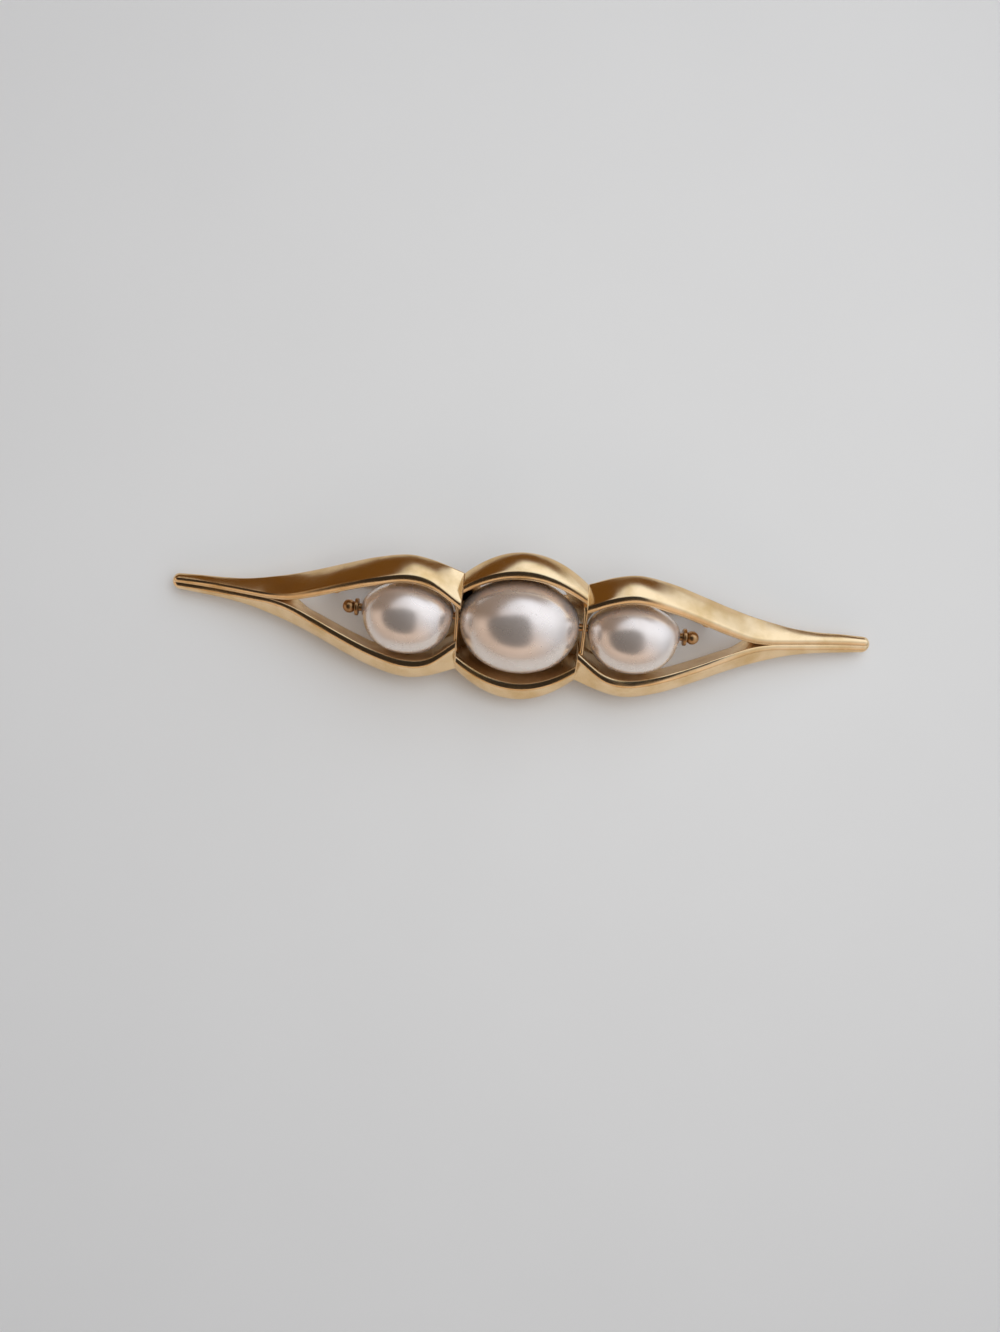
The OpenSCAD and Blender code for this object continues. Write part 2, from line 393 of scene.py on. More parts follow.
def curve_at(x, places, rows):
    """The guides at x on a smooth curve through the rows."""
    last = len(places) - 1
    i = int(np.clip(np.searchsorted(places, x, "right") - 1, 0, last - 1))
    h = places[i + 1] - places[i]
    u = (x - places[i]) / h
    slopes = []
    for j in (i, i + 1):
        before, after = max(j - 1, 0), min(j + 1, last)
        slopes.append((rows[after] - rows[before]) / (places[after] - places[before]))
    return ((2 * u ** 3 - 3 * u ** 2 + 1) * rows[i] + (u ** 3 - 2 * u ** 2 + u) * h * slopes[0]
            + (3 * u ** 2 - 2 * u ** 3) * rows[i + 1] + (u ** 3 - u ** 2) * h * slopes[1])


def half_run(cusp_x, bow_crest, arm_crest):
    """Stations from the middle to one tip: x, how full the section is, and the guides."""
    bow_x = sorted({*np.linspace(0, cusp_x - CLEAR_OF_CUSP, BOW_STATIONS).round(4),
                    *(cusp_x - near for near in NEAR_CUSP)})
    arm_x = sorted({*(cusp_x + near for near in NEAR_CUSP),
                    *np.linspace(cusp_x + CLEAR_OF_CUSP, TIP_X, ARM_STATIONS).round(4)})
    bow_end = np.array([*bow_crest, *MIDDLE_END[2:]])
    places = np.array([cusp_x, *ARM_X[1:]])
    rows = np.vstack([[*arm_crest, *ARM[0, 2:]], ARM[1:]])
    half = [(x, 1.0, MIDDLE + (bow_end - MIDDLE) * (x / cusp_x) ** 2) for x in bow_x]
    half += [(x, 1.0, curve_at(x, places, rows)) for x in arm_x]
    tip_row = curve_at(TIP_X, places, rows)
    return half + [(TIP_X + TIP_R * math.sin(a), math.cos(a), tip_row) for a in TIP_ANGLES]


runs = []
for left, right in (UPPER_CUSPS, LOWER_CUSPS):
    left_half = [(-x, full, row) for x, full, row in half_run(*left)[:0:-1]]
    runs.append(left_half + half_run(*right))
print("stations on each rail:", [len(run) for run in runs])

# %% [markdown]
# ## The rail's section as a node tree
# Seen from its end, a rail is a wall with a rolled lip inside, a rounded shoulder out to its
# widest point, a slacker flank down to the back, and a flat back. A curve swept along a path
# could only carry one section, so the tree moves the points of a grid instead. It reads the
# guides of the row, works out the five stretches of the section from the column, and picks
# the right one.

# %% The rail tree
STRETCHES = 5
rail_tree, sizes, output = new_tree(
    "Cast rail", **{"Points Round": ("Int", 91), "Bevel Angle": ("Float", math.radians(46)),
                    "Inner Roll": ("Float", 0.4), "Shoulder Fullness": ("Float", 0.7),
                    "Flank Fullness": ("Float", 0.15), "Side": ("Float", 1.0),
                    "Finish": ("Material", None)})
T = rail_tree
stations = add(T, "GeometryNodeAttributeDomainSize", sizes.outputs[0])
columns = sizes.outputs["Points Round"]
grid = add(T, "GeometryNodeMeshGrid", 1.0, 1.0, stations, columns)
row, column = row_and_column(T, columns)
last_column = add(T, "ShaderNodeMath", columns, 1.0, operation="SUBTRACT")
turn = add(T, "ShaderNodeMath", column, float(STRETCHES), operation="MULTIPLY")
turn = add(T, "ShaderNodeMath", turn, last_column, operation="DIVIDE")
stretch_no = add(T, "ShaderNodeMath", turn, operation="FLOOR")
stretch_no = add(T, "ShaderNodeMath", stretch_no, STRETCHES - 1.0, operation="MINIMUM")
way = add(T, "ShaderNodeMath", turn, stretch_no, operation="SUBTRACT")
crest = carried(T, sizes, "crest", row)
wide = carried(T, sizes, "wide", row)
back = carried(T, sizes, "back", row)
foot = carried(T, sizes, "foot", row)
tip_middle = carried(T, sizes, "tip_middle", row)
lip = carried(T, sizes, "lip", row, "FLOAT")
full = carried(T, sizes, "full", row, "FLOAT")
print(len(T.nodes), "nodes that find each point's place on its rail")

# %% [markdown]
# ## The lip
# The bright line along each rail is a rolled lip. In section it is an arc from the top of the
# inner wall, over the crest, to the angle of the bevel, and its inner half is rolled flatter
# than its outer half. A bevel on a finished mesh would be the same all along. An arc that is
# worked out from the guides can slim down with the rail.

# %% The lip and the inner wall
bevel = sizes.outputs["Bevel Angle"]
arc = add(T, "ShaderNodeMath", bevel, math.pi / 2, operation="ADD")
tilt = add(T, "ShaderNodeMath", arc, way, -math.pi / 2, operation="MULTIPLY_ADD")
ends = {}
for label, angle in (("rolled", tilt), ("start", -math.pi / 2), ("end", bevel)):
    sideways = add(T, "ShaderNodeMath", angle, operation="SINE")
    forwards = add(T, "ShaderNodeMath", angle, operation="COSINE")
    forwards = add(T, "ShaderNodeMath", forwards, 1.0, operation="SUBTRACT")
    inwards = add(T, "ShaderNodeMath", angle, 0.0, operation="LESS_THAN")
    depth = add(T, "ShaderNodeMix", {0: inwards, 2: 1.0, 3: sizes.outputs["Inner Roll"]},
                data_type="FLOAT")
    forwards = add(T, "ShaderNodeMath", forwards, depth, operation="MULTIPLY")
    swing = add(T, "ShaderNodeCombineXYZ", 0.0, sideways, forwards)
    swing = add(T, "ShaderNodeVectorMath", swing, {"Scale": lip}, operation="SCALE")
    ends[label] = add(T, "ShaderNodeVectorMath", crest, swing, operation="ADD")
inner_wall = add(T, "ShaderNodeMix", {0: way, 4: foot, 5: ends["start"]}, data_type="VECTOR")
print(len(T.nodes), "nodes with the lip")

# %% [markdown]
# ## Shoulder and flank
# The polished bevel leaves the lip straight and bends over to the widest point, and the flank
# leaves that point straight down and turns in to the back edge. Where each of them bends
# decides where its bright band ends. Two straight mixes that are mixed again give a curve
# with one corner to steer it, so that bend is a single number for each rail.

# %% The shoulder
lip_end = add(T, "ShaderNodeSeparateXYZ", ends["end"])
widest = add(T, "ShaderNodeSeparateXYZ", wide)
fullness = sizes.outputs["Shoulder Fullness"]
reach = add(T, "ShaderNodeMath", widest.outputs["Y"], lip_end.outputs["Y"], operation="SUBTRACT")
reach = add(T, "ShaderNodeMath", reach, fullness, operation="MULTIPLY")
steep = add(T, "ShaderNodeMath", bevel, operation="TANGENT")
steep = add(T, "ShaderNodeMath", reach, steep, operation="MULTIPLY")
fall = add(T, "ShaderNodeMath", lip_end.outputs["Z"], widest.outputs["Z"], operation="SUBTRACT")
fall = add(T, "ShaderNodeMath", fall, fullness, operation="MULTIPLY")
drop = add(T, "ShaderNodeMath", steep, fall, operation="MINIMUM")
corner_y = add(T, "ShaderNodeMath", lip_end.outputs["Y"], reach, operation="ADD")
corner_z = add(T, "ShaderNodeMath", lip_end.outputs["Z"], drop, operation="SUBTRACT")
corner = add(T, "ShaderNodeCombineXYZ", widest.outputs["X"], corner_y, corner_z)
first = add(T, "ShaderNodeMix", {0: way, 4: ends["end"], 5: corner}, data_type="VECTOR")
second = add(T, "ShaderNodeMix", {0: way, 4: corner, 5: wide}, data_type="VECTOR")
shoulder = add(T, "ShaderNodeMix", {0: way, 4: first, 5: second}, data_type="VECTOR")
print(len(T.nodes), "nodes with the shoulder")

# %% The flank and the back
back_edge = add(T, "ShaderNodeSeparateXYZ", back)
heel_z = add(T, "ShaderNodeMix", {0: sizes.outputs["Flank Fullness"], 2: widest.outputs["Z"],
                                  3: back_edge.outputs["Z"]}, data_type="FLOAT")
heel = add(T, "ShaderNodeCombineXYZ", widest.outputs["X"], widest.outputs["Y"], heel_z)
first = add(T, "ShaderNodeMix", {0: way, 4: wide, 5: heel}, data_type="VECTOR")
second = add(T, "ShaderNodeMix", {0: way, 4: heel, 5: back}, data_type="VECTOR")
flank = add(T, "ShaderNodeMix", {0: way, 4: first, 5: second}, data_type="VECTOR")
flat_back = add(T, "ShaderNodeMix", {0: way, 4: back, 5: foot}, data_type="VECTOR")
print(len(T.nodes), "nodes with the flank")

# %% [markdown]
# ## The whole section
# A switch gives each point the curve of its own stretch. Towards a tip the section shrinks
# to one point, which rounds the end off, and a side of 1 or -1 makes the upper or the lower
# rail from the same tree.

# %% Put the rail together
# The switch has two places of its own, and gets one more for each further stretch.
pick = add(T, "GeometryNodeIndexSwitch", stretch_no, data_type="VECTOR")
for _ in range(STRETCHES - 2):
    pick.index_switch_items.new()
for number, stretch in enumerate((inner_wall, ends["rolled"], shoulder, flank, flat_back)):
    T.links.new(next(o for o in stretch.outputs if o.enabled), pick.inputs[number + 1])
spot = add(T, "ShaderNodeMix", {0: full, 4: tip_middle, 5: pick}, data_type="VECTOR")
mirror = add(T, "ShaderNodeCombineXYZ", 1.0, sizes.outputs["Side"], 1.0)
spot = add(T, "ShaderNodeVectorMath", spot, mirror, operation="MULTIPLY")
rail_skin = add(T, "GeometryNodeSetPosition", grid, {"Position": spot})
end_tree(T, rail_skin, sizes, output)
print(len(T.nodes), "nodes in the rail tree")

# %% [markdown]
# ## Both rails
# The upper rail has a steep bevel that shows a bright band beside a dark one, and the lower
# rail a flatter one that shows a single warm band, so each gets its own angles. The inner
# walls lean in towards the foot beside the middle pearl and are cut away under the arms,
# which is what the dark and light crescents inside the three cells come from.

# %% Grow both rails
# The lip's radius at the tips, what it gains in the middle, and where it slims down.
LIP_R = 0.33
LIP_EXTRA = 0.12
LIP_SLIM_X = (20.5, 15.5)
# How far a wall's foot stands in, how much more it does beside the middle pearl, and where
# that extra ends.
WALL_IN = 0.2
MIDDLE_WALL_IN = 0.6
MIDDLE_WALL_X = (3.8, 4.6)
# How far a wall is cut away under the arm, as a share of its height, and between where.
UNDERCUT = 0.3
UNDERCUT_IN_X = (10, 12)
UNDERCUT_OUT_X = (17, 19)
# The walls' feet reach just past the middle line, so that the rails join at the tips.
JOIN_Y = -0.03
BACK_WIDTH = 0.15
# The width from crest to widest point at which a rail is full.
FULL_WIDTH = 1.35
TIP_Z = (ARM[-1, 1] + ARM[-1, 3] + ARM[-1, 5]) / 3


def rise(x, start, end):
    """A smooth step from 0 at start to 1 at end."""
    t = min(max((x - start) / (end - start), 0), 1)
    return t * t * (3 - 2 * t)


def lip_at(x):
    """Radius of the rolled lip, slimmer where the rails run together."""
    return LIP_R + LIP_EXTRA * rise(x, *LIP_SLIM_X)


def rail(side, run, bevel, shoulder, flank, out_shift, down_shift):
    """One rail. The widest point may be moved out and forwards where the rail is full."""
    spine = {"crest": [], "wide": [], "back": [], "foot": [], "tip_middle": []}
    lips = [lip_at(abs(x)) for x, _, _ in run]
    for (x, _, (cy, cz, wy, wz, by, bz)), lip_r in zip(run, lips):
        k = min(1, ((wy - cy) / FULL_WIDTH)) ** 2
        inner = cy - lip_r
        wall_in = WALL_IN + MIDDLE_WALL_IN * (1 - rise(abs(x), *MIDDLE_WALL_X))
        cut = rise(abs(x), *UNDERCUT_IN_X) - rise(abs(x), *UNDERCUT_OUT_X)
        foot_y = max(inner - wall_in, min(inner, JOIN_Y)) + UNDERCUT * (cz - bz) * cut
        spine["crest"].append((x, cy, cz))
        spine["wide"].append((x, wy + out_shift * k, wz + down_shift * k))
        spine["back"].append((x, max(by, foot_y + BACK_WIDTH), bz))
        spine["foot"].append((x, foot_y, bz))
        spine["tip_middle"].append((x, 0, TIP_Z))
    points = point_mesh("rail guides", spine["tip_middle"], full=[f for _, f, _ in run],
                        lip=lips, **spine)
    return grown("rail", rail_tree, points, Side=side, Finish=gold_plating,
                 **{"Bevel Angle": math.radians(bevel), "Shoulder Fullness": shoulder,
                    "Flank Fullness": flank})


rails = [rail(1.0, runs[0], 46, 0.7, 0.15, -0.12, -0.6),
         rail(-1.0, runs[1], 30, 1.0, 0.6, 0.0, 0.0)]
print("faces in each rail:", [len(m.polygons) for m in rails])

# %% [markdown]
# ## Turned parts
# The wire with its collars and balls, the seats and the pin are all round in section, so
# they share a tree that carries a ring along a line of points. Each point says how wide the
# ring is there and which two directions it spans. A ring of no width closes an end. Joined
# cylinders would do too, but a turned profile gives rounded corners for nothing.

# %% The turning tree
turning_tree, sizes, output = new_tree(
    "Turned part", **{"Sides": ("Int", 32), "Finish": ("Material", None)})
T = turning_tree
stations = add(T, "GeometryNodeAttributeDomainSize", sizes.outputs[0])
grid, row, angle = ring_grid(T, stations, sizes)
swing = add(T, "ShaderNodeMath", angle, operation="COSINE")
swing = add(T, "ShaderNodeVectorMath", carried(T, sizes, "across", row), {"Scale": swing},
            operation="SCALE")
raised = add(T, "ShaderNodeMath", angle, operation="SINE")
raised = add(T, "ShaderNodeVectorMath", carried(T, sizes, "upward", row), {"Scale": raised},
             operation="SCALE")
spot = add(T, "ShaderNodeVectorMath", carried(T, sizes, "middle", row), swing, operation="ADD")
spot = add(T, "ShaderNodeVectorMath", spot, raised, operation="ADD")
turned_skin = add(T, "GeometryNodeSetPosition", grid, {"Position": spot})
end_tree(T, turned_skin, sizes, output)


def turned(profile, start, axis, sides=32, finish=gold_wire_finish):
    """Turns (distance along, radius) pairs about an axis that starts at a point, in mm."""
    axis = np.array(axis, float)
    across = np.cross(axis, [0.0, 0.6, 0.8] if abs(axis[0]) > 0.5 else [1.0, 0.0, 0.0])
    across /= np.linalg.norm(across)
    upward = np.cross(axis, across)
    rows = [np.array(start) + axis * d for d, _ in profile]
    points = point_mesh("rings", rows, middle=rows, across=[across * r for _, r in profile],
                        upward=[upward * r for _, r in profile])
    return grown("turned", turning_tree, points, Sides=sides, Finish=finish)


def rounded(profile, radius=0.06):
    """The same (distance, radius) pairs with each corner between them cut by a small arc."""
    out = [profile[0]]
    for before, at, after in zip(profile, profile[1:], profile[2:]):
        at = np.array(at, float)
        legs = [np.array(p, float) - at for p in (before, after)]
        lengths = [np.linalg.norm(leg) for leg in legs]
        cut = min(radius, *(0.45 * length for length in lengths))
        a, b = (at + leg / length * cut for leg, length in zip(legs, lengths))
        out += [tuple((1 - t) ** 2 * a + 2 * t * (1 - t) * at + t ** 2 * b)
                for t in (0, 0.25, 0.5, 0.75, 1)]
    return out + [profile[-1]]


print(len(T.nodes), "nodes in the turning tree")

# %% [markdown]
# ## The pod: rails, webs and seats
# A thin web crosses the pod between two pearls, cast in one with the cusps, and the wire goes
# through it. Two round seats on the back take the pin. A plain box would catch the light on
# knife edges that no casting has, so each web has a rounded top that swells and sinks into
# the cusps, and a foot that spreads into a gusset in each corner, where molten metal has to
# run from the web into the rails.

# %% Webs and seats, and the whole casting
WEB_X = 5.02
WEB_T = 0.3
WEB_Y = 3.2
WEB_TOP = 3.74
WEB_SWELL = 0.5
SINK = 0.9
SINK_FROM_Y = 2.2
GUSSET = 1.9
GUSSET_BOTTOM, GUSSET_SIDE, GUSSET_TOP = 1.3, 1.65, 2.0


def web(x):
    """A cross web from rail to rail. Its foot spreads into a gusset in each corner."""
    strip = bmesh.new()
    loops = []
    for y in np.linspace(-WEB_Y, WEB_Y, 33):
        out = abs(y) / WEB_Y
        half = WEB_T / 2 + WEB_SWELL * out ** 4
        wide_half = WEB_T / 2 + GUSSET * out ** 1.3
        high = WEB_TOP - SINK * rise(abs(y), SINK_FROM_Y, WEB_Y)
        rim = [(math.cos(a) * half, high - half + math.sin(a) * half)
               for a in np.radians(np.linspace(0, 180, 9))]
        base = [(-half, GUSSET_TOP), (-wide_half, GUSSET_SIDE), (-wide_half, GUSSET_BOTTOM),
                (wide_half, GUSSET_BOTTOM), (wide_half, GUSSET_SIDE), (half, GUSSET_TOP)]
        loops.append([strip.verts.new((x + dx, y, z)) for dx, z in rim + base])
    for one, two in zip(loops, loops[1:]):
        for i in range(len(one)):
            j = (i + 1) % len(one)
            strip.faces.new((one[i], one[j], two[j], two[i]))
    strip.faces.new(loops[0])
    strip.faces.new(loops[-1])
    mesh = bpy.data.meshes.new("web")
    strip.to_mesh(mesh)
    strip.free()
    return mesh


FOOT_X = 15.0
PIN_Y = 1.2
SEAT_Z = 0.45
SEAT_H = 0.65
SEAT_R = 0.55
SEAT_ROOT_R = 0.57
seat_profile = rounded([(0, 0), (0, SEAT_R), (0.25, SEAT_R), (SEAT_H, SEAT_ROOT_R),
                        (SEAT_H, 0)])
seats = [turned(seat_profile, (side * FOOT_X, PIN_Y, SEAT_Z), (0, 0, 1), 40, gold_plating)
         for side in (-1, 1)]
pod = laid_piece("pod_casting", rails + [web(-WEB_X), web(WEB_X)] + seats, gold_plating)
done(pod, "gold_plate", "pod_frame")

# %% [markdown]
# ## Pearls
# A pearl of this kind is a slightly uneven oval with a drilled hole. A scaled sphere would be
# too even and has no hole. The tree makes rings from one end of the drilling over the outside
# to the other end and back through the hole, so the pearl is one closed skin, and a slow
# noise with a fixed seed makes it uneven.

# %% The pearl tree
pearl_tree, sizes, output = new_tree(
    "Drilled pearl", **{"Length": ("Float", 9.5), "Thickness": ("Float", 7.5),
                        "Drill": ("Float", 0.9), "Rings": ("Int", 120), "Sides": ("Int", 96),
                        "Uneven": ("Float", 0.05), "Seed": ("Float", 1.0),
                        "Middle": ("Vector", (0.0, 0.0, 3.2)),
                        "Drill Offset": ("Vector", (0.0, 0.42, -0.2)),
                        "Finish": ("Material", None)})
T = pearl_tree
rings = sizes.outputs["Rings"]
grid, row, angle = ring_grid(T, rings, sizes)
# The last ring but one ends the outside, and the last one repeats the first, so the skin
# goes back through the hole between them.
last_ring = add(T, "ShaderNodeMath", rings, 2.0, operation="SUBTRACT")
way = add(T, "ShaderNodeMath", row, last_ring, operation="DIVIDE")
inside = add(T, "ShaderNodeMath", way, 1.001, operation="GREATER_THAN")
half_drill = add(T, "ShaderNodeMath", sizes.outputs["Drill"], 0.5, operation="MULTIPLY")
half_thick = add(T, "ShaderNodeMath", sizes.outputs["Thickness"], 0.5, operation="MULTIPLY")
half_long = add(T, "ShaderNodeMath", sizes.outputs["Length"], 0.5, operation="MULTIPLY")
rim = add(T, "ShaderNodeMath", half_drill, half_thick, operation="DIVIDE")
rim_angle = add(T, "ShaderNodeMath", rim, operation="ARCSINE")
sweep = add(T, "ShaderNodeMath", rim_angle, -2.0, math.pi, operation="MULTIPLY_ADD")
polar = add(T, "ShaderNodeMath", way, sweep, rim_angle, operation="MULTIPLY_ADD")
lengthwise = add(T, "ShaderNodeMath", polar, operation="COSINE")
lengthwise = add(T, "ShaderNodeMath", lengthwise, -1.0, operation="MULTIPLY")
girth = add(T, "ShaderNodeMath", polar, operation="SINE")
girth = add(T, "ShaderNodeMath", girth, half_thick, operation="MULTIPLY")
first_end = add(T, "ShaderNodeMath", rim_angle, operation="COSINE")
first_end = add(T, "ShaderNodeMath", first_end, -1.0, operation="MULTIPLY")
lengthwise = add(T, "ShaderNodeMix", {0: inside, 2: lengthwise, 3: first_end},
                 data_type="FLOAT")
girth = add(T, "ShaderNodeMix", {0: inside, 2: girth, 3: half_drill}, data_type="FLOAT")
x = add(T, "ShaderNodeMath", lengthwise, half_long, operation="MULTIPLY")
y = add(T, "ShaderNodeMath", angle, operation="COSINE")
y = add(T, "ShaderNodeMath", y, girth, operation="MULTIPLY")
z = add(T, "ShaderNodeMath", angle, operation="SINE")
z = add(T, "ShaderNodeMath", z, girth, operation="MULTIPLY")
spot = add(T, "ShaderNodeCombineXYZ", x, y, z)
print(len(T.nodes), "nodes for an even drilled pearl")

# %% [markdown]
# ## What makes a pearl uneven
# Each coat dries a little thicker here and there, so a pearl is never quite round, and its
# drilling is seldom quite in the middle. A noise with lumps some 4 or 5 mm long swells the
# skin by a few hundredths, and both ends of the hole are drawn aside together. Sculpting
# would do as well, but a seed gives three different pearls from one tree.

# %% Lumps and the off-centre drilling
LUMPS = 0.22  # features per millimetre
# The lumps fade out towards the hole, so both ends of the drilling stay where they are.
lumps = add(T, "ShaderNodeTexNoise", spot, {"W": sizes.outputs["Seed"], "Scale": LUMPS,
                                            "Detail": 1.0}, noise_dimensions="4D")
lumps = add(T, "ShaderNodeMath", lumps, 0.5, operation="SUBTRACT")
swollen = add(T, "ShaderNodeMath", girth, half_thick, operation="DIVIDE")
lumps = add(T, "ShaderNodeMath", lumps, swollen, operation="MULTIPLY")
lumps = add(T, "ShaderNodeMath", lumps, sizes.outputs["Uneven"], 1.0, operation="MULTIPLY_ADD")
spot = add(T, "ShaderNodeVectorMath", spot, {"Scale": lumps}, operation="SCALE")
# The drilling is off centre, so the skin is drawn aside only close to its ends.
near_end = add(T, "ShaderNodeMath", lengthwise, 6.0, operation="POWER")
aside = add(T, "ShaderNodeVectorMath", sizes.outputs["Drill Offset"], {"Scale": near_end},
            operation="SCALE")
spot = add(T, "ShaderNodeVectorMath", spot, aside, operation="ADD")
spot = add(T, "ShaderNodeVectorMath", spot, sizes.outputs["Middle"], operation="ADD")
pearl_skin = add(T, "GeometryNodeSetPosition", grid, {"Position": spot})
end_tree(T, pearl_skin, sizes, output)
print(len(T.nodes), "nodes in the pearl tree")

# %% [markdown]
# ## Three pearls on one wire
# The middle pearl is the large one, and a smaller one lies on each side of it. They could
# be copies of one mesh, but pearls are picked to match and never do so quite. So each gets
# its own size, place and seed, and the offset from its middle to the one straight wire.

# %% Grow the three pearls
WIRE_Y = 0.42
WIRE_Z = 3.0
# Each pearl's middle, length, thickness and seed.
PEARLS = {"pearl_left": ((-8.94, 0.0, 3.2), 7.3, 5.74, 3.0),
          "pearl_middle": ((-0.09, 0.15, 3.18), 9.5, 7.5, 8.0),
          "pearl_right": ((8.93, 0.0, 3.2), 7.34, 5.7, 5.0)}
for name, (middle, length, thickness, seed) in PEARLS.items():
    start = point_mesh("pearl", [(0, 0, 0)])
    drilled = (0.0, WIRE_Y - middle[1], WIRE_Z - middle[2])
    mesh = grown(name, pearl_tree, start, Finish=pearl_finish, Length=length,
                 Thickness=thickness, Seed=seed, Middle=middle, **{"Drill Offset": drilled})
    done(laid_piece(name + "_bead", [mesh], pearl_finish), "pearl", name)

# %% [markdown]
# ## The wire
# The wire runs straight through pearls and webs, and a collar and a small ball stop it at
# each end. Ball and collar could be separate shapes pushed into each other, but their seams
# would show. One profile from end to end is a single closed skin, with a small round in each
# corner that catches the light.

# %% Wire with collars and balls
WIRE_R = 0.3
BALL_X = 13.57
BALL_R = 0.53
BALL_NECK = 0.6  # the angle round the ball, in radians, at which it leaves the collar
COLLAR_R = 0.68
COLLAR_IN_X = 12.83
COLLAR_OUT_X = 13.11
COLLAR_BORE_R = 0.28
# Distances run from the left ball, so the middle of the wire is at BALL_X.
end = rounded([(BALL_X + 1, WIRE_R), (BALL_X + COLLAR_IN_X, WIRE_R),
               (BALL_X + COLLAR_IN_X, COLLAR_R), (BALL_X + COLLAR_OUT_X, COLLAR_R),
               (BALL_X + COLLAR_OUT_X, COLLAR_BORE_R)], 0.08)
ball = [(2 * BALL_X - BALL_R * math.cos(a), BALL_R * math.sin(a))
        for a in np.linspace(BALL_NECK, math.pi, 22)]
half = end + ball
profile = [(2 * BALL_X - d, r) for d, r in half[::-1]] + half
wire = laid_piece("pearl_wire_finished",
                  [turned(profile, (-BALL_X, WIRE_Y, WIRE_Z), (1, 0, 0), 40)], gold_wire_finish)
done(wire, "gold_findings", "pearl_wire")

# %% [markdown]
# ## The pin
# The photograph doesn't show the back, so the pin is a plain common one: a joint barrel and a
# tube catch on round posts, and a stem that tapers to a point. Boxes and straight cylinders
# would stand for it, but real findings are turned and drawn, so each part is a turned profile
# with rounded corners.

# %% The pin behind
STEM_Z = -1.038
STEM_R = 0.3
POST_R = 0.4
POST_FOOT_R = 0.55
POST_H = SEAT_Z - STEM_Z
JOINT_R = 0.38
GROOVE_R = 0.33
RIVET_R = 0.2
BARREL_HALF = 0.26
CATCH_R = 0.45
CATCH_BORE_R = 0.36
CATCH_L = 1.3
post = rounded([(0, 0), (0, POST_R), (0.75, POST_R), (1.05, POST_FOOT_R),
                (POST_H, POST_FOOT_R), (POST_H, 0)])
# Three knuckles with a groove between neighbours, and the rivet's head at each end.
barrel = rounded([(0, 0), (0, RIVET_R), (0.03, RIVET_R), (0.03, JOINT_R), (0.15, JOINT_R),
                  (0.18, GROOVE_R), (0.21, JOINT_R), (0.31, JOINT_R), (0.34, GROOVE_R),
                  (0.37, JOINT_R), (0.49, JOINT_R), (0.49, RIVET_R), (0.52, RIVET_R),
                  (0.52, 0)], 0.03)
tube = rounded([(0, CATCH_BORE_R), (0, CATCH_R), (CATCH_L, CATCH_R), (CATCH_L, CATCH_BORE_R),
                (0, CATCH_BORE_R)], 0.05)
stem = [(0, 0)] + rounded([(0, 0.15), (0.1, STEM_R), (26, STEM_R), (30, 0.24), (31.8, 0.05)])
stem += [(31.85, 0)]
parts = [turned(post, (side * FOOT_X, PIN_Y, STEM_Z), (0, 0, 1)) for side in (-1, 1)]
parts += [turned(barrel, (-FOOT_X, PIN_Y - BARREL_HALF, STEM_Z), (0, 1, 0), 40),
          turned(stem, (-FOOT_X, PIN_Y, STEM_Z), (1, 0, 0)),
          turned(tube, (FOOT_X - CATCH_L / 2, PIN_Y, STEM_Z), (1, 0, 0), 40)]
pin = laid_piece("pin_finished", parts, gold_wire_finish)
done(pin, "gold_findings", "pin_back")

# %% [markdown]
# ## Table
# The brooch lies on a plain pale surface, most likely lacquered board. Lacquer is a clear
# film, so it is no metal, has a soft shine and takes its colour from below. A flat plate is
# all it needs, with a slight mottle so that it isn't perfectly even.

# %% The table
TABLE_HALF = 0.6
MOTTLE = 60.0  # features per metre
table_finish, tree, out = new_finish("pale_table_lacquer")
at = add(tree, "ShaderNodeTexCoord").outputs["Object"]
mottle = add(tree, "ShaderNodeTexNoise", at, {"Scale": MOTTLE, "Detail": 4.0})
shade = add(tree, "ShaderNodeMix", {0: mottle, 6: linear("#EAE9E5"), 7: linear("#EEEDE9")},
            data_type="RGBA")
skin = add(tree, "ShaderNodeBsdfPrincipled", {"Base Color": shade, "Roughness": 0.55})
tree.links.new(skin.outputs[0], out.inputs["Surface"])
table = bpy.data.meshes.new("table_top")
corners = [(-TABLE_HALF, -TABLE_HALF, 0), (TABLE_HALF, -TABLE_HALF, 0),
           (TABLE_HALF, TABLE_HALF, 0), (-TABLE_HALF, TABLE_HALF, 0)]
table.from_pydata(corners, [], [(0, 1, 2, 3)])
table.materials.append(table_finish)
floor = bpy.data.objects.new("table_top", table)
bpy.context.collection.objects.link(floor)
print("table:", 2 * TABLE_HALF, "m wide")

# %% [markdown]
# ## Camera
# The camera looks straight down from close above, as a phone is held, and is turned a
# little, so the bar runs slightly downhill. Its distance and lens set how much larger the
# near lip looks than the table behind it, so they were found together from the photograph.

# %% The camera
TURN = math.radians(5.33)
camera = bpy.data.objects.new("camera", bpy.data.cameras.new("camera"))
bpy.context.collection.objects.link(camera)
camera.data.sensor_fit = "VERTICAL"
camera.data.sensor_height = 24
camera.data.lens = 19.44
camera.data.clip_start = 0.005
camera.data.clip_end = 10
camera.location = (-0.0013, -0.00315, 0.0889)
camera.rotation_euler = (0, 0, TURN)
bpy.context.scene.camera = camera
bpy.context.scene.view_settings.view_transform = "Standard"
print("camera height in mm:", round(camera.location.z * MM, 1))

# %% [markdown]
# ## The room
# Polished metal and pearls show little but the room round them, so the room matters as much
# as their finish. It could be built of walls and furniture, but only its reflections are
# seen, so it is painted on the sky by direction instead: bright walls, with a glow where the
# window is at the upper right.

# %% The walls of the room
world = bpy.data.worlds.new("room")
bpy.context.scene.world = world
world.use_nodes = True
tree = world.node_tree
tree.nodes.clear()
out = add(tree, "ShaderNodeOutputWorld")
at = add(tree, "ShaderNodeTexCoord").outputs["Generated"]
